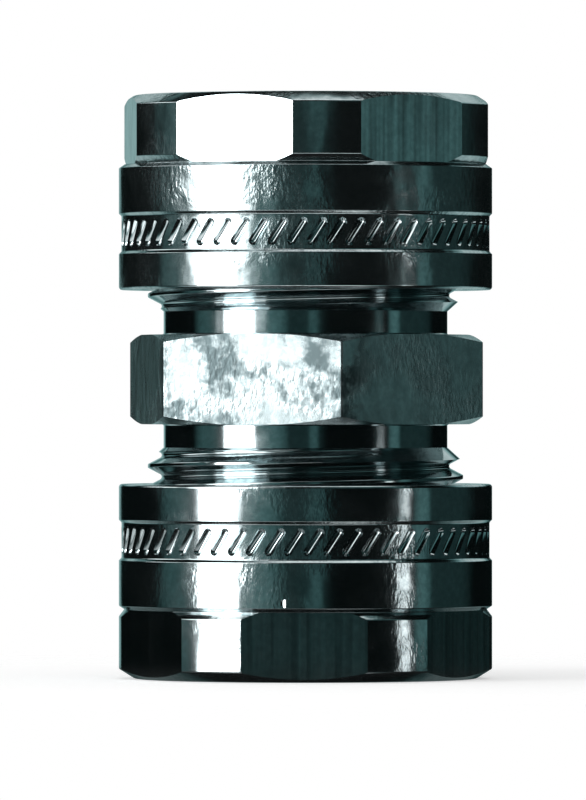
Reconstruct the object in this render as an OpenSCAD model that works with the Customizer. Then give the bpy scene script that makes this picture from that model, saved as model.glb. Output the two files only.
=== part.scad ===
// Straight pipe coupling with a soft seal and a split clamp ring at each end.
// A hexagonal centre body carries a threaded spigot at either end, and a union nut on each
// spigot presses the seal and the clamp ring onto the pipe.
// The coupling stands on the end face of its lower nut, with its axis along +Z.

/* [Pipe] */
// Outside diameter of the pipe that the coupling joins
pipe_d = 18; // [12:0.5:28]
// Wall of that pipe: the throat between the two pipe ends is as wide as the pipe's own bore
pipe_wall = 1; // [0.5:0.1:3]
// Gap all round between the pipe and its socket
socket_gap = 0.05; // [0.05:0.05:0.2]
// Gap all round between the pipe and the rings, before they are pressed onto it
ring_bore_gap = 0.3; // [0.2:0.05:0.5]
// Gap all round between the pipe and the mouth of each nut
mouth_gap = 0.4; // [0.2:0.05:0.8]

/* [Spigot thread] */
// Wall of a spigot from its socket out to the thread crests: 26.44 mm over them for an 18 mm pipe
spigot_wall = 4.17; // [3.6:0.01:8]
// Distance between thread crests
thread_pitch = 1.814; // [1:0.001:2.3]
// Gap all round between the spigot's thread and the nut
thread_gap = 0.08; // [0.05:0.01:0.2]

/* [Centre body] */
// How far the centre hexagon's flats stand outside the thread
hex_stand = 0.34; // [0.1:0.02:2]
// Height of the centre hexagon
hex_h = 7.5; // [5:0.5:20]
// How far outside the flats the chamfer of the hexagon's corners begins
hex_shoulder = 0.2; // [0:0.05:1]
// Angle of that chamfer, in degrees
hex_chamfer = 20; // [10:1:35]
// Depth of the plain neck below the thread's root
neck_sink = 0.16; // [0:0.02:0.5]
// Length of the plain neck
neck_len = 2.2; // [1:0.1:4]
// Length of each spigot, from the hexagon to its end face
spigot_len = 10.6; // [9:0.05:20]
// Width of the stop between the two sockets
stop_w = 3; // [1:0.5:6]
// Depth of the conical seat for the seal ring
seat_depth = 2.4; // [1.6:0.1:3]
// Width of the flat floor of that seat
seat_floor = 0.8; // [0.5:0.05:1]
// Wall left round the seat's mouth
seat_wall = 0.75; // [0.5:0.05:1]

/* [Union nuts] */
// Length of a nut
nut_len = 16.3; // [14.5:0.1:19]
// Wall of a nut round its thread, out to the round bands
nut_wall = 2.35; // [2:0.05:5]
// Depth of the flats of a nut's hexagon below the bands
flat_sink = 0.9; // [0.5:0.05:1]
// Length of a nut's hexagon
nut_hex_len = 5.2; // [4:0.1:5.8]
// Depth of the groove between hexagon and bands
nut_groove_sink = 0.45; // [0.1:0.05:0.5]
// Width of that groove
nut_groove_w = 0.9; // [0.6:0.1:1.4]
// Length of the plain band beside the spanner hexagon
outer_band = 3.8; // [2:0.1:4.5]
// Length of the knurled band
knurl_band = 3.4; // [3:0.1:4.5]
// How deep the knurled band lies below the plain bands
knurl_sink = 0.22; // [0.1:0.02:0.4]
// Thickness of the lip that closes a nut round the pipe
lip_len = 2.7; // [2:0.1:4]
// Width of the chamfer on the end face
end_chamfer = 1.3; // [0.5:0.05:1.6]
// Angle of that chamfer, in degrees
end_chamfer_angle = 32; // [20:1:40]
// Small chamfer on the bands' outer edges
edge_break = 0.3; // [0.1:0.05:0.3]

/* [Knurling] */
// Number of slanting grooves round a nut
knurl_count = 60; // [36:1:72]
// Lean of the grooves away from the axis, in degrees
knurl_lean = 31; // [0:1:45]
// Height of a groove along the axis
knurl_h = 2; // [1.5:0.1:2.6]
// Width of a groove, across it
knurl_w = 0.8; // [0.4:0.05:0.95]
// Depth of a groove
knurl_depth = 0.36; // [0.2:0.02:0.5]

/* [Rings inside each nut] */
// Thickness of the slip washer under the nut's lip
washer_t = 0.8; // [0.5:0.1:1.5]
// Length of the split clamp ring
clamp_len = 3.6; // [2.6:0.1:5]
// Length of the clamp ring's nose, which sinks into the pressure ring
nose_len = 0.9; // [0.5:0.1:1.2]
// Wall of that nose at its tip
nose_wall = 0.4; // [0.3:0.05:0.6]
// Width of the flat shoulder round the nose
nose_shoulder = 0.7; // [0.5:0.05:1]
// Width of the slit in the clamp ring
clamp_slit = 1.4; // [0.5:0.1:3]
// Number of gripping ridges in the clamp ring's bore
grip_count = 4; // [2:1:6]
// Depth of the grooves between the gripping ridges
grip_depth = 0.25; // [0.1:0.05:0.4]
// Thickness of the pressure ring
pressure_t = 1.9; // [1.6:0.1:3]
// Length of the seal ring
seal_len = 3.4; // [3.1:0.1:4.4]
// Gap all round between the rings and the nut
ring_gap = 0.14; // [0.08:0.02:0.25]

/* [How far the nuts are screwed on] */
// Play left in the ring stack of the upper nut
upper_play = 0.35; // [0.1:0.05:2]
// Play left in the ring stack of the lower nut
lower_play = 1.6; // [0.1:0.05:2.4]
// Angle of the upper nut's flats against the centre hexagon, in degrees
upper_nut_angle = -4.5; // [-30:0.5:30]
// Angle of the lower nut's flats against the centre hexagon, in degrees
lower_nut_angle = 18.5; // [-30:0.5:30]

/* [Hidden] */
$fn = 96;

plating = [0.30, 0.40, 0.41];
brass = [0.72, 0.58, 0.30];
steel = [0.62, 0.65, 0.66];
rubber = [0.07, 0.07, 0.08];

// Cuts reach this far past the faces that they open
past = 1;

// Whitworth depth with flat crests and roots: the flats take a sixth of the pitch each
thread_form_depth = 0.6403;
flat_w = thread_pitch / 6;
flank_w = thread_pitch / 3;

// Radii of the pipe's path
socket_r = pipe_d / 2 + socket_gap;
ring_bore_r = pipe_d / 2 + ring_bore_gap;
mouth_r = pipe_d / 2 + mouth_gap;
throat_r = pipe_d / 2 - pipe_wall;

// Radii of a spigot
thread_r = socket_r + spigot_wall;
root_r = thread_r - thread_form_depth * thread_pitch;
neck_r = root_r - neck_sink;

// Centre body, measured outwards from the middle of its hexagon
hex_af = 2 * (thread_r + hex_stand);
hex_shoulder_r = hex_af / 2 + hex_shoulder;
hex_corner_r = hex_af / sqrt(3);
spigot_end = hex_h / 2 + spigot_len;
thread_start = hex_h / 2 + neck_len;
end_lead = 0.8;
seat_mouth_r = root_r - seat_wall;
seat_floor_r = socket_r + seat_floor;

// Nut, measured outwards from its open end
nut_bore_r = thread_r + thread_gap;
nut_r = nut_bore_r + nut_wall;
nut_af = 2 * (nut_r - flat_sink);
knurl_r = nut_r - knurl_sink;
nut_groove_r = nut_r - nut_groove_sink;
hex_start = nut_len - nut_hex_len;
groove_start = hex_start - nut_groove_w;
flats_start = groove_start + edge_break;
knurl_end = groove_start - outer_band;
knurl_start = knurl_end - knurl_band;
knurl_mid = (knurl_start + knurl_end) / 2;
shoulder_at = nut_len - lip_len;
chamber_r = root_r + thread_gap;
mouth_lead = 0.5;
thread_lead = 0.6;
relief_len = 2.1;

// Ring stack, measured outwards from the spigot's end face
ring_r = chamber_r - ring_gap;
ring_edge = 0.2;
seal_gap = 0.08;
seal_proud = seal_len - seat_depth;
pressure_at = seal_proud;
clamp_at = pressure_at + pressure_t - nose_len;
stack_len = clamp_at + clamp_len + washer_t;
nut_bore_len = shoulder_at - stack_len + relief_len;
nose_gap = 0.1;
nose_r = ring_bore_r + nose_wall;
nose_shoulder_r = ring_r - nose_shoulder;

// How far a nut's open end lies from the middle of the body: its ring stack sets that
function nut_open_end(play) = spigot_end + stack_len + play - shoulder_at;
body_mid = nut_len + nut_open_end(lower_play);

// Puts what is drawn outwards from the middle of the centre body at the upper or the lower end
module at_upper_end() {
    translate([0, 0, body_mid]) children();
}

module at_lower_end() {
    translate([0, 0, body_mid]) rotate([180, 0, 0]) children();
}

// Hexagonal prism whose flats face along Y
module hex_prism(across_flats, height) {
    cylinder(h = height, r = across_flats / sqrt(3), $fn = 6);
}

// Outline of one annular thread ridge, from root to root
function ridge(z) = [
    [root_r, z + flat_w / 2],
    [thread_r, z + flat_w / 2 + flank_w],
    [thread_r, z + 3 * flat_w / 2 + flank_w],
    [root_r, z + 3 * flat_w / 2 + 2 * flank_w]
];

ridge_count = ceil((spigot_end - thread_start) / thread_pitch);

// Spigot drawn outwards from the hexagon, with its end led in
module spigot() {
    intersection() {
        rotate_extrude() polygon(concat(
            [[0, 0], [neck_r, 0], [neck_r, thread_start]],
            [for (i = [0 : ridge_count - 1]) each ridge(thread_start + i * thread_pitch)],
            [[0, thread_start + ridge_count * thread_pitch]]
        ));
        rotate_extrude() polygon([
            [0, 0], [thread_r + past, 0],
            [thread_r + past, spigot_end - end_lead - past],
            [thread_r - end_lead, spigot_end],
            [0, spigot_end]
        ]);
    }
}

// Centre hexagon with both ends chamfered round its corners
module centre_hex() {
    chamfer_h = (hex_corner_r - hex_shoulder_r) * tan(hex_chamfer);
    intersection() {
        translate([0, 0, -hex_h / 2]) hex_prism(hex_af, hex_h);
        rotate_extrude() polygon([
            [0, -hex_h / 2], [hex_shoulder_r, -hex_h / 2],
            [hex_corner_r, -hex_h / 2 + chamfer_h], [hex_corner_r + past, -hex_h / 2 + chamfer_h],
            [hex_corner_r + past, hex_h / 2 - chamfer_h], [hex_corner_r, hex_h / 2 - chamfer_h],
            [hex_shoulder_r, hex_h / 2], [0, hex_h / 2]
        ]);
    }
}

// Socket with its conical seal seat, cut outwards from the stop
module socket_cut() {
    rotate_extrude() polygon([
        [0, stop_w / 2], [socket_r, stop_w / 2],
        [socket_r, spigot_end - seat_depth], [seat_floor_r, spigot_end - seat_depth],
        [seat_mouth_r, spigot_end],
        [seat_mouth_r, spigot_end + past], [0, spigot_end + past]
    ]);
}

module centre_body() {
    color(plating) translate([0, 0, body_mid]) difference() {
        union() {
            centre_hex();
            spigot();
            rotate([180, 0, 0]) spigot();
        }
        socket_cut();
        rotate([180, 0, 0]) socket_cut();
        translate([0, 0, -stop_w]) cylinder(h = 2 * stop_w, r = throat_r);
    }
}

// Section of a nut, from its open end to its lipped end face
module nut_section() {
    chamfer_h = end_chamfer * tan(end_chamfer_angle);
    polygon([
        [nut_bore_r + thread_lead, 0],
        [nut_r - edge_break, 0],
        [nut_r, edge_break],
        [nut_r, knurl_start],
        [knurl_r, knurl_start + knurl_sink],
        [knurl_r, knurl_end - knurl_sink],
        [nut_r, knurl_end],
        [nut_r, groove_start],
        [nut_groove_r, flats_start],
        [nut_r, hex_start],
        [nut_r, nut_len - chamfer_h],
        [nut_r - end_chamfer, nut_len],
        [mouth_r + mouth_lead, nut_len],
        [mouth_r, nut_len - mouth_lead],
        [mouth_r, shoulder_at],
        [chamber_r, shoulder_at],
        [chamber_r, nut_bore_len],
        [nut_bore_r, nut_bore_len - (nut_bore_r - chamber_r)],
        [nut_bore_r, thread_lead]
    ]);
}

// Six flats milled from the end face back to the foot of the bands' edge
module nut_flats() {
    translate([0, 0, flats_start]) difference() {
        cylinder(h = nut_len - flats_start + past, r = nut_r + past);
        translate([0, 0, -past]) hex_prism(nut_af, nut_len + past);
    }
}

// One slanting groove, a vee with ramped ends, standing at the origin with its mouth towards +X
module knurl_groove() {
    length = knurl_h / cos(knurl_lean);
    mouth = 1 + past / knurl_depth;
    rotate([-knurl_lean, 0, 0]) intersection() {
        translate([0, 0, -length]) linear_extrude(2 * length) polygon([
            [-knurl_depth, 0], [past, -knurl_w / 2 * mouth], [past, knurl_w / 2 * mouth]
        ]);
        rotate([90, 0, 0]) translate([0, 0, -length]) linear_extrude(2 * length) polygon([
            [-knurl_depth, knurl_depth - length / 2], [past, -past - length / 2],
            [past, past + length / 2], [-knurl_depth, length / 2 - knurl_depth]
        ]);
    }
}

module union_nut(play, angle) {
    color(plating) translate([0, 0, nut_open_end(play)]) rotate([0, 0, angle]) difference() {
        rotate_extrude() nut_section();
        nut_flats();
        for (i = [0 : knurl_count - 1])
            rotate([0, 0, (i + 0.5) * 360 / knurl_count])
                translate([knurl_r, 0, knurl_mid]) knurl_groove();
    }
}

// Flat ring of the given section, with its sharp edges broken
module plain_ring(inner_r, outer_r, height) {
    rotate_extrude() polygon([
        [inner_r, 0], [outer_r - ring_edge, 0], [outer_r, ring_edge],
        [outer_r, height - ring_edge], [outer_r - ring_edge, height], [inner_r, height]
    ]);
}

module slip_washer(play) {
    color(steel) translate([0, 0, nut_open_end(play) + shoulder_at - washer_t])
        plain_ring(mouth_r, ring_r, washer_t);
}

// Split ring with gripping ridges in its bore and a nose at its inner end
module clamp_ring(drop) {
    grip_pitch = (clamp_len - 2 * grip_depth) / grip_count;
    color(brass) translate([0, 0, spigot_end + clamp_at + drop]) difference() {
        rotate_extrude() polygon(concat(
            [[nose_r, 0], [nose_shoulder_r - nose_gap, nose_len], [ring_r, nose_len]],
            [[ring_r, clamp_len - ring_edge], [ring_r - ring_edge, clamp_len], [ring_bore_r, clamp_len]],
            [for (i = [grip_count - 1 : -1 : 0]) each [
                [ring_bore_r, grip_depth + (i + 1) * grip_pitch - grip_pitch / 4],
                [ring_bore_r + grip_depth, grip_depth + i * grip_pitch + grip_pitch / 4],
                [ring_bore_r, grip_depth + i * grip_pitch + grip_pitch / 8]
            ]],
            [[ring_bore_r, 0]]
        ));
        translate([0, -clamp_slit / 2, -past]) cube([ring_r + past, clamp_slit, clamp_len + 2 * past]);
    }
}

// Ring between seal and clamp ring, with a conical recess for the clamp ring's nose
module pressure_ring(drop) {
    color(brass) translate([0, 0, spigot_end + pressure_at + drop]) rotate_extrude() polygon([
        [ring_bore_r, 0], [ring_r - ring_edge, 0], [ring_r, ring_edge],
        [ring_r, pressure_t], [nose_shoulder_r, pressure_t],
        [nose_r + nose_gap, pressure_t - nose_len], [ring_bore_r, pressure_t - nose_len]
    ]);
}

// Tapered rubber ring, seated on the flat floor of its conical seat
module seal_ring() {
    color(rubber) translate([0, 0, spigot_end - seat_depth]) rotate_extrude() polygon([
        [ring_bore_r, 0], [seat_floor_r - seal_gap, 0],
        [seat_mouth_r - seal_gap, seat_depth], [seat_mouth_r - seal_gap, seal_len], [ring_bore_r, seal_len]
    ]);
}

module upper_nut() { at_upper_end() union_nut(upper_play, upper_nut_angle); }
module lower_nut() { at_lower_end() union_nut(lower_play, -lower_nut_angle); }
module upper_slip_washer() { at_upper_end() slip_washer(upper_play); }
module lower_slip_washer() { at_lower_end() slip_washer(lower_play); }

// The upper rings lie on the seal, and the lower ones on the washer in the nut
module upper_clamp_ring() { at_upper_end() clamp_ring(0); }
module lower_clamp_ring() { at_lower_end() clamp_ring(lower_play); }
module upper_pressure_ring() { at_upper_end() pressure_ring(0); }
module lower_pressure_ring() { at_lower_end() pressure_ring(lower_play); }
module upper_seal_ring() { at_upper_end() seal_ring(); }
module lower_seal_ring() { at_lower_end() seal_ring(); }

centre_body();
upper_nut();
upper_slip_washer();
upper_clamp_ring();
upper_pressure_ring();
upper_seal_ring();
lower_nut();
lower_slip_washer();
lower_clamp_ring();
lower_pressure_ring();
lower_seal_ring();
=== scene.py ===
import math

import bpy
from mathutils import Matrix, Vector

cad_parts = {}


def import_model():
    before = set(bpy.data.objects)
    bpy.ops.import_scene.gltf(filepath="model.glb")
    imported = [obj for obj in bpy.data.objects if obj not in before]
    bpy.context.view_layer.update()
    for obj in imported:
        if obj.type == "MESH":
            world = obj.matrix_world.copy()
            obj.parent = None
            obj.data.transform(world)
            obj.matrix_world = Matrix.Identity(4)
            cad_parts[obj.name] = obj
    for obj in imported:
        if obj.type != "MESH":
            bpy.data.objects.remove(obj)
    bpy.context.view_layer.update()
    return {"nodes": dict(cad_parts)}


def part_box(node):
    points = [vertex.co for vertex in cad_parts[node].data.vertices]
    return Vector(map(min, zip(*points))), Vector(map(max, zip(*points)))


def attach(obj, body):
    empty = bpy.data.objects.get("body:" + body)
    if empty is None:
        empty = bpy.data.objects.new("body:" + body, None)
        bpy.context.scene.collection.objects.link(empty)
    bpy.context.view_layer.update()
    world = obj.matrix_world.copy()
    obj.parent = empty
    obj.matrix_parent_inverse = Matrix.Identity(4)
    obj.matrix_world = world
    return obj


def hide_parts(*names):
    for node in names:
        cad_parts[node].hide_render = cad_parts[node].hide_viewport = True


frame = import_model()
bpy.ops.object.select_all(action="DESELECT")

MM = 0.001
TURN = 2 * math.pi

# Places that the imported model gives
BODY_LOW, BODY_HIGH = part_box("centre_body")
UPPER_LOW, UPPER_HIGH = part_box("upper_nut")
LOWER_LOW, LOWER_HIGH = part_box("lower_nut")
MIDDLE = (BODY_LOW.z + BODY_HIGH.z) / 2
SPIGOT_END = BODY_HIGH.z - MIDDLE

# Sizes of the centre body
THREAD_R = 13.22 * MM
THREAD_PITCH = 1.814 * MM
THREAD_DEPTH = 0.6403 * THREAD_PITCH
THREAD_GAP = 0.08 * MM
ROOT_R = THREAD_R - THREAD_DEPTH
NECK_R = ROOT_R - 0.16 * MM
HEX_AF = 27.12 * MM
HEX_H = 7.5 * MM
HEX_SHOULDER_R = 13.76 * MM
HEX_CORNER_R = HEX_AF / math.sqrt(3)
HEX_CHAMFER = math.radians(20)
SOCKET_R = 9.05 * MM
THROAT_R = 8 * MM
STOP_W = 3 * MM
SEAT_DEPTH = 2.4 * MM
SEAT_MOUTH_R = 11.308 * MM
SEAT_FLOOR_R = 9.85 * MM
END_LEAD = 0.8 * MM

# Heights of a thread crest on the +X side, above the middle of the body
UPPER_CREST = 6.038 * MM
LOWER_CREST = -6.439 * MM

# Sizes of a nut, its heights measured outwards from its open end
NUT_LEN = UPPER_HIGH.z - UPPER_LOW.z
NUT_R = 15.65 * MM
NUT_AF = 29.5 * MM
NUT_BORE_R = THREAD_R + THREAD_GAP
CHAMBER_R = ROOT_R + THREAD_GAP
MOUTH_R = 9.4 * MM
SHOULDER_AT = 13.6 * MM
BORE_LEN = 9.3 * MM
FLATS_START = 10.5 * MM
GROOVE_START = 10.2 * MM
HEX_START = 11.1 * MM
GROOVE_R = 15.2 * MM
KNURL_START = 3.0 * MM
KNURL_END = 6.4 * MM
KNURL_R = 15.43 * MM
KNURL_COUNT = 60
KNURL_LEAN = math.radians(33)
KNURL_H = 2.2 * MM
KNURL_W = 0.76 * MM
KNURL_DEPTH = 0.33 * MM
END_CHAMFER = 1.3 * MM
END_CHAMFER_H = END_CHAMFER * math.tan(math.radians(32))
UPPER_NUT_TURN = math.radians(-4.5)
LOWER_NUT_TURN = math.radians(18.5)

STEPS = 256
SMOOTH_ANGLE = math.radians(19)


def take(piece):
    """Selects one piece alone and makes it the active one."""
    bpy.ops.object.select_all(action="DESELECT")
    piece.select_set(True)
    bpy.context.view_layer.objects.active = piece


def edit(piece, select="SELECT"):
    """Opens a piece in edit mode, with all of it or nothing selected."""
    take(piece)
    bpy.ops.object.mode_set(mode="EDIT")
    bpy.ops.mesh.select_all(action=select)


def done():
    bpy.ops.object.mode_set(mode="OBJECT")


def pick(piece, chosen, kind="VERT"):
    """Selects the vertices, edges or faces of a piece for which chosen(middle) is true."""
    edit(piece, "DESELECT")
    bpy.ops.mesh.select_mode(type=kind)
    done()
    mesh = piece.data
    if kind == "VERT":
        for v in mesh.vertices:
            v.select = chosen(v.co)
    elif kind == "EDGE":
        for e in mesh.edges:
            e.select = chosen(*(mesh.vertices[i].co for i in e.vertices))
    else:
        for f in mesh.polygons:
            f.select = chosen(f.center, f.normal)
    bpy.ops.object.mode_set(mode="EDIT")


def draw_outline(name, corners, closed=True):
    """Draws a wire in the XZ plane through (radius, height, rounding) corners."""
    bpy.ops.mesh.primitive_plane_add(size=MM, location=(0, 0, 0))
    piece = bpy.context.object
    piece.name = name
    bpy.ops.object.mode_set(mode="EDIT")
    bpy.ops.mesh.select_mode(type="VERT")
    bpy.ops.mesh.merge(type="CENTER")
    bpy.ops.transform.translate(value=(corners[0][0], 0, corners[0][1]))
    for here, there in zip(corners, corners[1:]):
        step = (there[0] - here[0], 0, there[1] - here[1])
        bpy.ops.mesh.extrude_region_move(TRANSFORM_OT_translate={"value": step})
    done()
    if closed:
        ends = [Vector((c[0], 0, c[1])) for c in (corners[0], corners[-1])]
        pick(piece, lambda co: min((co - e).length for e in ends) < 1e-7)
        bpy.ops.mesh.edge_face_add()
        done()
    for rounding in sorted({c[2] for c in corners if len(c) > 2}):
        places = [Vector((c[0], 0, c[1])) for c in corners if len(c) > 2 and c[2] == rounding]
        pick(piece, lambda co: min((co - p).length for p in places) < 1e-7)
        bpy.ops.mesh.bevel(offset=rounding * MM, segments=6, affect="VERTICES", profile=0.5)
        done()
    return piece


def turn(name, corners, closed=True, steps=STEPS):
    """Turns an outline round the axis into a closed solid."""
    piece = draw_outline(name, corners, closed)
    edit(piece)
    bpy.ops.mesh.spin(
        steps=steps, angle=TURN, center=(0, 0, 0), axis=(0, 0, 1), dupli=False, use_auto_merge=True
    )
    bpy.ops.mesh.select_all(action="SELECT")
    bpy.ops.mesh.remove_doubles(threshold=1e-6)
    bpy.ops.mesh.normals_make_consistent(inside=False)
    done()
    return piece


def place(piece, location=(0, 0, 0), rotation=(0, 0, 0)):
    """Moves and turns a piece, with its place in its mesh."""
    take(piece)
    piece.location = location
    piece.rotation_euler = rotation
    bpy.ops.object.transform_apply(location=True, rotation=True, scale=True)


def coat(piece, finish):
    piece.data.materials.clear()
    piece.data.materials.append(finish)
    return piece


def apply(piece, kind, **settings):
    """Adds a modifier to a piece and applies it."""
    take(piece)
    modifier = piece.modifiers.new(kind, kind)
    for name, value in settings.items():
        setattr(modifier, name, value)
    bpy.ops.object.modifier_apply(modifier=modifier.name)


def combine(piece, tool, operation):
    """Joins, cuts or intersects a piece with a tool, which leaves its finish on what it cuts."""
    apply(
        piece, "BOOLEAN", object=tool, operation=operation, solver="EXACT",
        material_mode="TRANSFER",
    )
    bpy.data.objects.remove(tool)


def copy(piece):
    twin = piece.copy()
    twin.data = piece.data.copy()
    bpy.context.scene.collection.objects.link(twin)
    return twin


def thread_solid(name, crest_at, low, high, gap=0.0):
    """Solid screw of the spigot's thread, grown by gap, between two heights."""
    flat = THREAD_PITCH / 6 + 0.6 * gap
    flank = THREAD_PITCH / 3 + 0.3 * gap
    root, crest = ROOT_R - gap, THREAD_R + gap
    start = crest_at + math.floor((low - crest_at) / THREAD_PITCH - 2) * THREAD_PITCH
    half = THREAD_PITCH / 2
    piece = draw_outline(name, [
        (root, start - half),
        (root, start - flat / 2 - flank, 0.14),
        (crest, start - flat / 2, 0.06),
        (crest, start + flat / 2, 0.06),
        (root, start + flat / 2 + flank, 0.14),
        (root, start + half),
    ], closed=False)
    turns = math.ceil((high - low) / THREAD_PITCH) + 4
    apply(
        piece, "SCREW", angle=TURN, screw_offset=THREAD_PITCH, iterations=turns, steps=128,
        render_steps=128, axis="Z", use_merge_vertices=False,
    )
    edit(piece)
    bpy.ops.mesh.remove_doubles(threshold=1e-6)
    for height, outwards in ((low, -1), (high, 1)):
        bpy.ops.mesh.select_all(action="SELECT")
        bpy.ops.mesh.bisect(
            plane_co=(0, 0, height), plane_no=(0, 0, outwards), use_fill=True, clear_outer=True
        )
    bpy.ops.mesh.select_all(action="SELECT")
    bpy.ops.mesh.normals_make_consistent(inside=False)
    done()
    return piece


def spigot(name, side, crest_at):
    """Neck and threaded end of the body, upwards for side 1 and downwards for side -1."""
    neck_end = 5.7 * MM
    full_thread = 6.9 * MM
    inner = THROAT_R - 3 * MM
    envelope = turn(name + "_envelope", [
        (inner, MIDDLE + side * 1 * MM),
        (NECK_R + 1 * MM, MIDDLE + side * 1 * MM),
        (NECK_R + 1 * MM, MIDDLE + side * 3 * MM),
        (NECK_R, MIDDLE + side * (HEX_H / 2 + 0.1 * MM)),
        (NECK_R, MIDDLE + side * neck_end),
        (THREAD_R + 0.01 * MM, MIDDLE + side * full_thread),
        (THREAD_R + 0.01 * MM, MIDDLE + side * (SPIGOT_END - END_LEAD)),
        (THREAD_R - END_LEAD, MIDDLE + side * SPIGOT_END, 0.08),
        (inner, MIDDLE + side * SPIGOT_END),
    ])
    low, high = sorted((MIDDLE + side * 0.5 * MM, MIDDLE + side * (SPIGOT_END + 1 * MM)))
    screw = coat(thread_solid(name, MIDDLE + crest_at, low, high), FINISHES["cut"])
    combine(screw, coat(envelope, FINISHES["cut"]), "INTERSECT")
    return screw


def hexagon(name):
    """Centre hexagon with chamfered corners and slightly blunted edges."""
    bpy.ops.mesh.primitive_cylinder_add(
        vertices=6, radius=HEX_CORNER_R, depth=HEX_H, location=(0, 0, MIDDLE),
        rotation=(0, 0, math.pi / 6),
    )
    piece = coat(bpy.context.object, FINISHES["hexagon"])
    piece.name = name
    bpy.ops.object.transform_apply(location=True, rotation=True, scale=True)
    pick(piece, lambda a, b: abs(a.z - b.z) > MM, "EDGE")
    bpy.ops.mesh.bevel(offset=0.12 * MM, segments=4, affect="EDGES", profile=0.5)
    done()
    chamfer_h = (HEX_CORNER_R - HEX_SHOULDER_R) * math.tan(HEX_CHAMFER)
    low, high = MIDDLE - HEX_H / 2, MIDDLE + HEX_H / 2
    outer = HEX_CORNER_R + 0.05 * MM
    envelope = turn(name + "_envelope", [
        (THROAT_R - 3 * MM, low), (HEX_SHOULDER_R, low, 0.08), (outer, low + chamfer_h),
        (outer, high - chamfer_h), (HEX_SHOULDER_R, high, 0.08), (THROAT_R - 3 * MM, high),
    ])
    combine(piece, coat(envelope, FINISHES["hexagon"]), "INTERSECT")
    return piece


def centre_body():
    body = hexagon("centre_body_threaded")
    combine(body, spigot("upper_spigot", 1, UPPER_CREST), "UNION")
    combine(body, spigot("lower_spigot", -1, LOWER_CREST), "UNION")
    beyond = SPIGOT_END + 1 * MM
    half = [
        (THROAT_R, STOP_W / 2), (SOCKET_R, STOP_W / 2, 0.1),
        (SOCKET_R, SPIGOT_END - SEAT_DEPTH), (SEAT_FLOOR_R, SPIGOT_END - SEAT_DEPTH),
        (SEAT_MOUTH_R, SPIGOT_END), (SEAT_MOUTH_R, beyond), (0, beyond),
    ]
    lower = [(c[0], MIDDLE - c[1], *c[2:]) for c in reversed(half)]
    upper = [(c[0], MIDDLE + c[1], *c[2:]) for c in half]
    waterway = turn("waterway", lower + upper, closed=False)
    combine(body, coat(waterway, FINISHES["cut"]), "DIFFERENCE")
    return body


def nut_blank(name):
    """Turned nut, standing on its open end."""
    lead = 0.6 * MM
    relief_r = NUT_BORE_R + 0.05 * MM
    thread_end = BORE_LEN - 2.1 * MM
    return turn(name, [
        (NUT_BORE_R + lead, 0, 0.08),
        (NUT_R, 0, 0.28),
        (NUT_R, KNURL_START, 0.04),
        (KNURL_R, KNURL_START + NUT_R - KNURL_R, 0.08),
        (KNURL_R, KNURL_END - NUT_R + KNURL_R, 0.08),
        (NUT_R, KNURL_END, 0.04),
        (NUT_R, GROOVE_START, 0.05),
        (GROOVE_R, FLATS_START, 0.06),
        (NUT_R, HEX_START, 0.05),
        (NUT_R, NUT_LEN - END_CHAMFER_H, 0.1),
        (NUT_R - END_CHAMFER, NUT_LEN, 0.15),
        (MOUTH_R + 0.5 * MM, NUT_LEN, 0.1),
        (MOUTH_R, NUT_LEN - 0.5 * MM, 0.1),
        (MOUTH_R, SHOULDER_AT, 0.05),
        (CHAMBER_R, SHOULDER_AT),
        (CHAMBER_R, BORE_LEN),
        (relief_r, BORE_LEN - (relief_r - CHAMBER_R)),
        (relief_r, thread_end),
        (CHAMBER_R, thread_end - (relief_r - CHAMBER_R)),
        (CHAMBER_R, NUT_BORE_R + lead - CHAMBER_R),
    ])


def flat_cutters():
    """Six blocks whose inner faces are the flats."""
    depth = 3 * MM
    bpy.ops.mesh.primitive_cube_add(
        size=1, location=(NUT_AF / 2 + depth / 2, 0, (FLATS_START + NUT_LEN + MM) / 2),
        scale=(depth, 14 * MM, NUT_LEN + MM - FLATS_START),
    )
    block = bpy.context.object
    block.name = "flat_cutter"
    bpy.ops.object.transform_apply(location=True, rotation=True, scale=True)
    return ring_of(block, 6, math.pi / 2)


def sharpen_flats(piece):
    """Keeps the edges round each flat crisp, so that the flats reflect as planes."""
    def on_flat(middle, normal):
        return abs(normal.z) < 0.001 and abs(middle.dot(normal) - NUT_AF / 2) < 0.001 * MM

    pick(piece, on_flat, "FACE")
    bpy.ops.mesh.region_to_loop()
    bpy.ops.mesh.mark_sharp()
    done()


def join(pieces):
    take(pieces[0])
    for piece in pieces:
        piece.select_set(True)
    bpy.ops.object.join()
    return pieces[0]


def ring_of(piece, count, first):
    """Copies a piece round the axis and joins the copies."""
    copies = [piece] + [copy(piece) for _ in range(count - 1)]
    for i, one in enumerate(copies):
        place(one, rotation=(0, 0, first + i * TURN / count))
    return join(copies)


def groove_cutter(name, width, depth, length):
    """Upright round-ended cutter on the +X side, with its mouth level with x = 0."""
    past = 0.15 * MM
    bowl = [(width / 2 * f, -depth * (1 - f * f)) for f in (1, 0.8, 0.6, 0.4, 0.2, 0)]
    cutter = turn(name, [(0, past), (width / 2 + past, past), *bowl], closed=False, steps=20)
    place(cutter, rotation=(0, 0, TURN / 40))
    place(cutter, rotation=(0, math.pi / 2, 0))
    for side in (-1, 1):
        pick(cutter, lambda co: co.z * side > 0)
        bpy.ops.transform.translate(value=(0, 0, side * (length - width) / 2))
        done()
    return cutter


def knurl_stroke():
    stroke = groove_cutter("knurl_stroke", KNURL_W, KNURL_DEPTH, KNURL_H / math.cos(KNURL_LEAN))
    place(stroke, rotation=(-KNURL_LEAN, 0, 0))
    place(stroke, location=(KNURL_R, 0, (KNURL_START + KNURL_END) / 2))
    return stroke


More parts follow.
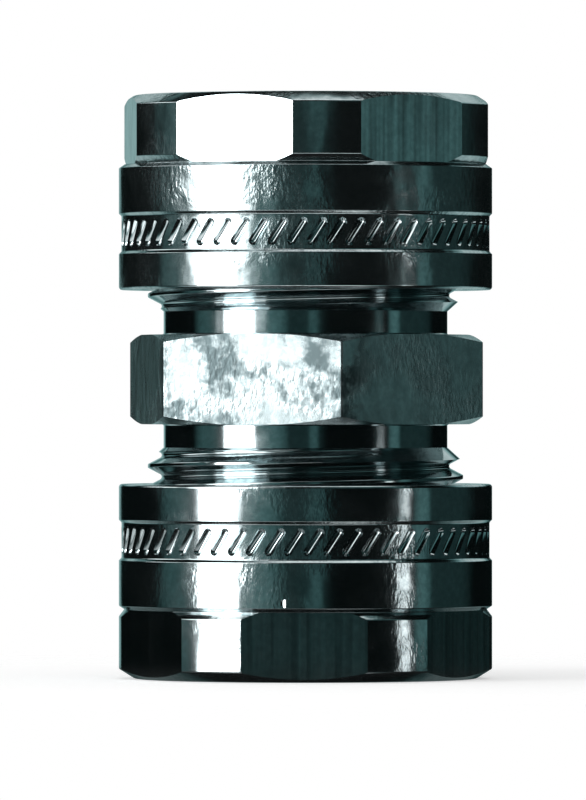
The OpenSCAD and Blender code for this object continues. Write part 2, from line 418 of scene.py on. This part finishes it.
def dent(width, length, lean, facing, angle, height):
    """Cutter of one shallow scratch or nick on a plain band, whose floor faces sideways, at an angle
    round the nut and a height on it."""
    cutter = groove_cutter("dent", width, 0.015 * MM, length)
    place(cutter, rotation=(lean, 0, facing))
    place(cutter, location=(NUT_R, 0, height))
    place(cutter, rotation=(0, 0, angle))
    return cutter


def nut(name, finish, low, flip, angle, crest_at, wear):
    piece = coat(nut_blank(name), finish)
    combine(piece, coat(flat_cutters(), FINISHES["milled"]), "DIFFERENCE")
    sharpen_flats(piece)
    strokes = ring_of(knurl_stroke(), KNURL_COUNT, math.pi / KNURL_COUNT)
    combine(piece, coat(join([strokes, wear]), FINISHES["cut"]), "DIFFERENCE")
    if flip:
        place(piece, location=(0, 0, low + NUT_LEN), rotation=(math.pi, 0, angle))
    else:
        place(piece, location=(0, 0, low), rotation=(0, 0, angle))
    thread_low, thread_high = -1 * MM, BORE_LEN - 1.2 * MM
    if flip:
        span = (low + NUT_LEN - thread_high, low + NUT_LEN - thread_low)
    else:
        span = (low + thread_low, low + thread_high)
    screw = thread_solid("female_thread", MIDDLE + crest_at, *span, gap=THREAD_GAP)
    combine(piece, coat(screw, FINISHES["cut"]), "DIFFERENCE")
    return piece


def finish_piece(piece, body, node):
    take(piece)
    bpy.ops.object.shade_smooth_by_angle(angle=SMOOTH_ANGLE)
    apply(piece, "WEIGHTED_NORMAL", mode="FACE_AREA", weight=100, keep_sharp=True)
    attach(piece, body)
    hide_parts(node)


class Wire:
    """Output of a node, on which plain arithmetic adds Math nodes."""

    def __init__(self, finish, socket):
        self.finish = finish
        self.socket = socket

    def math(self, operation, *values):
        inputs = dict(enumerate(values))
        return self.finish.node("Math", {"operation": operation}, inputs)

    def __add__(self, other):
        return self.math("ADD", self, other)

    def __sub__(self, other):
        return self.math("SUBTRACT", self, other)

    def __rsub__(self, other):
        return self.math("SUBTRACT", other, self)

    def __mul__(self, other):
        return self.math("MULTIPLY", self, other)

    def __truediv__(self, other):
        return self.math("DIVIDE", self, other)

    def __pow__(self, other):
        return self.math("POWER", self, other)

    __radd__ = __add__
    __rmul__ = __mul__

    def clamp(self):
        return self.finish.node("Math", {"operation": "ADD", "use_clamp": True}, {0: self, 1: 0.0})

    def ramp(self, low, high):
        """0 below low, 1 above high and a smooth rise between them."""
        return self.finish.node(
            "MapRange", {"interpolation_type": "SMOOTHSTEP"},
            {"Value": self, "From Min": low, "From Max": high}, "Result",
        )


class Finish:
    """Node tree of one material or world."""

    def __init__(self, owner):
        owner.use_nodes = True
        self.owner = owner
        self.tree = owner.node_tree
        self.tree.nodes.clear()

    def node(self, kind, settings=None, inputs=None, output=0):
        made = self.tree.nodes.new("ShaderNode" + kind)
        for name, value in (settings or {}).items():
            setattr(made, name, value)
        for name, value in (inputs or {}).items():
            if isinstance(value, Wire):
                self.tree.links.new(value.socket, made.inputs[name])
            else:
                made.inputs[name].default_value = value
        return Wire(self, made.outputs[output])

    def end(self, kind, shader):
        made = self.tree.nodes.new("ShaderNodeOutput" + kind)
        self.tree.links.new(shader.socket, made.inputs["Surface"])


def split(finish, vector):
    return [finish.node("SeparateXYZ", {}, {0: vector}, axis) for axis in "XYZ"]


def object_place(finish, scale=(1, 1, 1)):
    coordinates = finish.node("TexCoord", {}, {}, "Object")
    return finish.node("Mapping", {}, {"Vector": coordinates, "Scale": scale}, "Vector")


def noise(finish, scale, detail=3.0, roughness=0.55, stretch=(1, 1, 1)):
    """Cloudy noise whose clumps are about 1/scale metres across."""
    return finish.node("TexNoise", {}, {
        "Vector": object_place(finish, stretch), "Scale": scale, "Detail": detail,
        "Roughness": roughness,
    }, "Fac")


def blend(finish, factor, first, second):
    """Colour between two colours."""
    return finish.node("Mix", {"data_type": "RGBA"}, {"Factor": factor, 6: first, 7: second}, 2)


PLATING_DARK = (0.33, 0.385, 0.395, 1)
PLATING_PALE = (0.43, 0.485, 0.495, 1)
PLATING_STAIN = (0.075, 0.10, 0.105, 1)


def plated(name, roughness, ripple=0.02, pitting=0.0, marks=0.0, stains=0.15):
    """Dark bright plating. The last four say how strongly it ripples, how deep its pitted patches
    are, how strong the tool marks along the axis are and how stained the face towards -Y is."""
    finish = Finish(bpy.data.materials.new(name))
    x, y, z = split(finish, finish.node("TexCoord", {}, {}, "Object"))
    cloud = noise(finish, 330, 4.0, 0.62)
    fine = noise(finish, 1800, 3.0, 0.6)
    pits = noise(finish, 2600, 2.5, 0.6, stretch=(1, 1, 0.6))
    patches = noise(finish, 170, 2.0, 0.5).ramp(0.42, 0.62)
    streaks = noise(finish, 1300, 1.0, 0.5, stretch=(1, 1, 0.02))
    wave = noise(finish, 420, 1.5, 0.45, stretch=(1, 1, 0.5))
    tone = blend(finish, fine.ramp(0.3, 0.7), PLATING_DARK, PLATING_PALE)
    front = (0 - y).ramp(0.75 * HEX_AF / 2, 0.95 * HEX_AF / 2)
    stain = cloud.ramp(0.42, 0.61) * stains * (front * 0.8 + 0.2)
    scored = streaks.ramp(0.50, 0.62) * (patches * 0.7 + 0.3) * min(20 * marks, 0.4)
    colour = blend(finish, (stain + scored).clamp(), tone, PLATING_STAIN)
    height = wave * ripple + streaks * marks + pits * patches * pitting + fine * 0.0006
    bump = finish.node("Bump", {}, {"Height": height, "Strength": 1.0, "Distance": MM}, "Normal")
    shader = finish.node("BsdfPrincipled", {}, {
        "Base Color": colour, "Metallic": 1.0,
        "Roughness": patches * 0.04 + stain * 0.1 + roughness, "Normal": bump,
    })
    finish.end("Material", shader)
    return finish.owner


def plain_metal(name, colour, roughness, grain):
    """Turned or stamped metal with fine circular tool marks."""
    finish = Finish(bpy.data.materials.new(name))
    rings = noise(finish, 9000, 2.0, 0.5, stretch=(0.02, 0.02, 1))
    cloud = noise(finish, 500, 4.0, 0.6)
    dark = tuple(0.72 * c for c in colour[:3]) + (1,)
    mixed = blend(finish, cloud.ramp(0.3, 0.7), dark, colour)
    bump = finish.node("Bump", {}, {"Height": rings + cloud * 0.4, "Distance": grain}, "Normal")
    shader = finish.node("BsdfPrincipled", {}, {
        "Base Color": mixed, "Metallic": 1.0, "Roughness": cloud * 0.15 + roughness, "Normal": bump,
    })
    finish.end("Material", shader)
    return finish.owner


def rubber(name):
    """Moulded black rubber with a faint bloom."""
    finish = Finish(bpy.data.materials.new(name))
    bloom = noise(finish, 700, 4.0, 0.6)
    colour = blend(finish, bloom.ramp(0.35, 0.75), (0.018, 0.018, 0.02, 1), (0.05, 0.05, 0.052, 1))
    bump = finish.node("Bump", {}, {"Height": noise(finish, 4000), "Distance": 0.01 * MM}, "Normal")
    shader = finish.node("BsdfPrincipled", {}, {
        "Base Color": colour, "Roughness": bloom * 0.2 + 0.55, "Normal": bump,
    })
    finish.end("Material", shader)
    return finish.owner


# Camera: it stands in front of the coupling, turned 19 degrees round it, level with its middle
CAMERA_TURN = math.radians(19)
CAMERA_AWAY = 0.87
FRAME_W, FRAME_H = 586, 800
PIXELS_PER_M = 11925
AXIS_X, MIDDLE_Y = 305.5, 379.5
TO_CAMERA = Vector((math.sin(CAMERA_TURN), -math.cos(CAMERA_TURN), 0))
TO_RIGHT = Vector((math.cos(CAMERA_TURN), math.sin(CAMERA_TURN), 0))
UP = Vector((0, 0, 1))


def camera():
    lens = bpy.data.cameras.new("camera")
    lens.sensor_fit = "VERTICAL"
    lens.sensor_height = 36
    lens.lens = PIXELS_PER_M * CAMERA_AWAY / FRAME_H * lens.sensor_height
    holder = bpy.data.objects.new("camera", lens)
    bpy.context.scene.collection.objects.link(holder)
    sideways = TO_RIGHT * ((FRAME_W / 2 - AXIS_X) / PIXELS_PER_M)
    height = UP * (MIDDLE - (FRAME_H / 2 - MIDDLE_Y) / PIXELS_PER_M)
    holder.location = TO_CAMERA * CAMERA_AWAY + sideways + height
    holder.rotation_euler = (math.pi / 2, 0, CAMERA_TURN)
    bpy.context.scene.camera = holder


def lamp(name, azimuth, elevation, away, width, height, radiance):
    """Soft box at an azimuth right of the camera, facing the coupling."""
    light = bpy.data.lights.new(name, "AREA")
    light.shape = "RECTANGLE"
    light.size, light.size_y = width, height
    light.energy = radiance * math.pi * width * height
    holder = bpy.data.objects.new(name, light)
    bpy.context.scene.collection.objects.link(holder)
    level = TO_CAMERA * math.cos(azimuth) + TO_RIGHT * math.sin(azimuth)
    direction = level * math.cos(elevation) + UP * math.sin(elevation)
    holder.location = direction * away + UP * MIDDLE
    holder.rotation_euler = direction.to_track_quat("Z", "Y").to_euler()


def lamps():
    """Wide soft box on the left, a low panel before it that only the upper nut mirrors, and a slim
    strip on the right that ends level with the lower thread."""
    deg = math.radians
    lamp("left_soft_box", deg(-55.5), 0, 1, 0.48, 0.62, 8.0)
    lamp("near_panel", deg(-54.3), deg(8.4), 0.4, 0.328, 0.085, 4.5)
    lamp("right_strip", deg(62.7), deg(-8.8), 0.4, 0.04, 0.1, 2.7)


# Cards of the studio that bright surfaces mirror: azimuth right of the camera, half width and softness
# of the sides, lowest and highest edge with their softness, angles in degrees, and then the level
CARDS = {
    "pale_back": (-174, 11, 4, -9, 9, 3, 0.5),
    "beside_soft_box": (-87, 9, 8, -9, 9, 3, 0.13),
    "front_left": (-29, 8, 9, -9, 9, 3, 0.22),
    "front": (-2, 12, 8, -9, 9, 3, 0.04),
    "front_slit": (6.5, 2, 3, -9, 9, 3, 0.11),
    "high_strip": (62, 3, 2, 1, 12, 1, 0.24),
    "right": (77, 4, 3, -9, 9, 3, 0.21),
    "far_right": (100, 18, 10, -9, 9, 3, 0.04),
    "tall_window": (-61, 22, 5, 17, 60, 3, 3.4),
    "bright_paper": (-63, 20, 5, -60, -45, 2, 3.2),
    "floor": (-20, 68, 12, -42, -25, 5, 1.6),
    "floor_behind": (180, 65, 15, -42, -14, 6, 0.7),
    "high_left": (-106, 16, 6, 16, 30, 4, 2.6),
    "high_front": (-34, 18, 6, 26, 40, 4, 1.3),
    "high_right": (40, 28, 6, 24, 38, 4, 0.3),
    "high_behind": (165, 45, 15, 14, 34, 5, 0.8),
}

# Round cards high above and far below, which edges and steps mirror as thin bright lines: azimuth,
# elevation, radius and softness, and then the level
DISCS = {
    "overhead": (97, 83, 22, 5, 1.6),
    "beneath": (103, -77, 8, 3, 5.0),
}


def card(finish, x, y, z, azimuth, half, soft, low, high, fade, level):
    """Brightness of one card in the direction x, y, z."""
    deg = math.radians
    across = (x * x + y * y) ** 0.5
    middle = TO_CAMERA * math.cos(deg(azimuth)) + TO_RIGHT * math.sin(deg(azimuth))
    beside = (x * middle.x + y * middle.y) / across
    inside = beside.ramp(math.cos(deg(half + soft)), math.cos(deg(max(half - soft, 0))))
    up = z.ramp(math.sin(deg(low - fade)), math.sin(deg(low + fade)))
    down = z.ramp(math.sin(deg(high - fade)), math.sin(deg(high + fade)))
    return inside * up * (1 - down) * level


def disc(x, y, z, azimuth, elevation, radius, soft, level):
    """Brightness of one round card in the direction x, y, z."""
    deg = math.radians
    side = TO_CAMERA * math.cos(deg(azimuth)) + TO_RIGHT * math.sin(deg(azimuth))
    middle = side * math.cos(deg(elevation)) + UP * math.sin(deg(elevation))
    near = x * middle.x + y * middle.y + z * middle.z
    return near.ramp(math.cos(deg(radius + soft)), math.cos(deg(radius - soft))) * level


def world():
    """White behind the coupling for the camera, a plain level on what is dull, and the dim cards
    of the studio in what is bright."""
    sky = bpy.data.worlds.new("studio")
    bpy.context.scene.world = sky
    finish = Finish(sky)
    direction = finish.node("TexCoord", {}, {}, "Generated")
    x, y, z = split(finish, direction)
    studio = 0.004
    for place_and_level in CARDS.values():
        studio = card(finish, x, y, z, *place_and_level) + studio
    for place_and_level in DISCS.values():
        studio = disc(x, y, z, *place_and_level) + studio
    camera_ray = finish.node("LightPath", {}, {}, "Is Camera Ray")
    glossy_ray = finish.node("LightPath", {}, {}, "Is Glossy Ray")
    shown = glossy_ray * studio + (1 - glossy_ray) * 0.6
    strength = camera_ray + (1 - camera_ray) * shown
    white = (1, 1, 1, 1)
    tint = blend(finish, studio.ramp(0.0, 1.2), (0.41, 1, 1, 1), white)
    tint = blend(finish, glossy_ray, white, tint)
    finish.end("World", finish.node("Background", {}, {"Color": tint, "Strength": strength}))


def floor():
    """Small round pale floor that fades into the white round it, and is clear from below. In what the metal
    mirrors it is a nearly black painted shade, which darkens the coupling's lower faces.
    """
    bpy.ops.mesh.primitive_circle_add(vertices=96, radius=0.12, fill_type="NGON", location=(0, 0, -0.02 * MM))
    disc = bpy.context.object
    disc.name = "floor"
    bpy.ops.object.transform_apply(location=True, rotation=True, scale=True)
    finish = Finish(bpy.data.materials.new("pale_floor"))
    x, y, z = split(finish, finish.node("TexCoord", {}, {}, "Object"))
    away = (x * x + y * y) ** 0.5
    glossy_ray = finish.node("LightPath", {}, {}, "Is Glossy Ray")
    below = finish.node("NewGeometry", {}, {}, "Backfacing")
    edge = (away + glossy_ray * 0.035 + below).ramp(0.03, 0.1)
    camera_ray = finish.node("LightPath", {}, {}, "Is Camera Ray")
    # Pale for the camera and for light, but a nearly black painted shade in the metal's reflections
    tone = blend(finish, glossy_ray, (0.8, 0.8, 0.8, 1), (0.06, 0.06, 0.06, 1))
    dull = finish.node("BsdfDiffuse", {}, {"Color": tone})
    glow = finish.node("Emission", {}, {"Strength": camera_ray * 0.45})
    pale = finish.node("AddShader", {}, {0: dull, 1: glow})
    clear = finish.node("BsdfTransparent")
    finish.end("Material", finish.node("MixShader", {}, {0: edge, 1: pale, 2: clear}))
    disc.data.materials.append(finish.owner)


camera()
bpy.context.scene.view_settings.view_transform = "Standard"
FINISHES = {
    "turned": plated("turned_plating", 0.12, ripple=0.03, pitting=0.03),
    "pitted": plated("pitted_plating", 0.16, ripple=0.09, pitting=0.06),
    "milled": plated("milled_plating", 0.12, ripple=0.01, marks=0.02),
    "hexagon": plated("stained_plating", 0.215, ripple=0.03, pitting=0.035, marks=0.004, stains=1.0),
    "cut": plated("smooth_plating", 0.09, ripple=0.004),
}

body = centre_body()
scratch = dent(
    0.2 * MM, 1.0 * MM, math.radians(26), math.radians(-17), math.radians(-82.3) - UPPER_NUT_TURN,
    8.65 * MM,
)
nick = dent(
    0.45 * MM, 0.7 * MM, 0, math.radians(22), math.radians(77.2) + LOWER_NUT_TURN, 9.75 * MM,
)
upper = nut(
    "upper_union_nut", FINISHES["pitted"], UPPER_LOW.z, False, UPPER_NUT_TURN, UPPER_CREST, scratch,
)
lower = nut(
    "lower_union_nut", FINISHES["turned"], LOWER_LOW.z, True, LOWER_NUT_TURN, LOWER_CREST, nick,
)
for piece, rides, node in (
    (body, "body", "centre_body"), (upper, "upper_nut", "upper_nut"), (lower, "lower_nut", "lower_nut"),
):
    finish_piece(piece, rides, node)

brass = plain_metal("bare_brass", (0.72, 0.52, 0.24, 1), 0.22, 0.01 * MM)
steel = plain_metal("washer_steel", (0.62, 0.63, 0.64, 1), 0.3, 0.01 * MM)
black = rubber("seal_rubber")
for end in ("upper", "lower"):
    for node, material in (
        ("slip_washer", steel), ("clamp_ring", brass), ("pressure_ring", brass), ("seal_ring", black),
    ):
        cad = frame["nodes"][f"{end}_{node}"]
        cad.material_slots[0].material = material

lamps()
world()
floor()
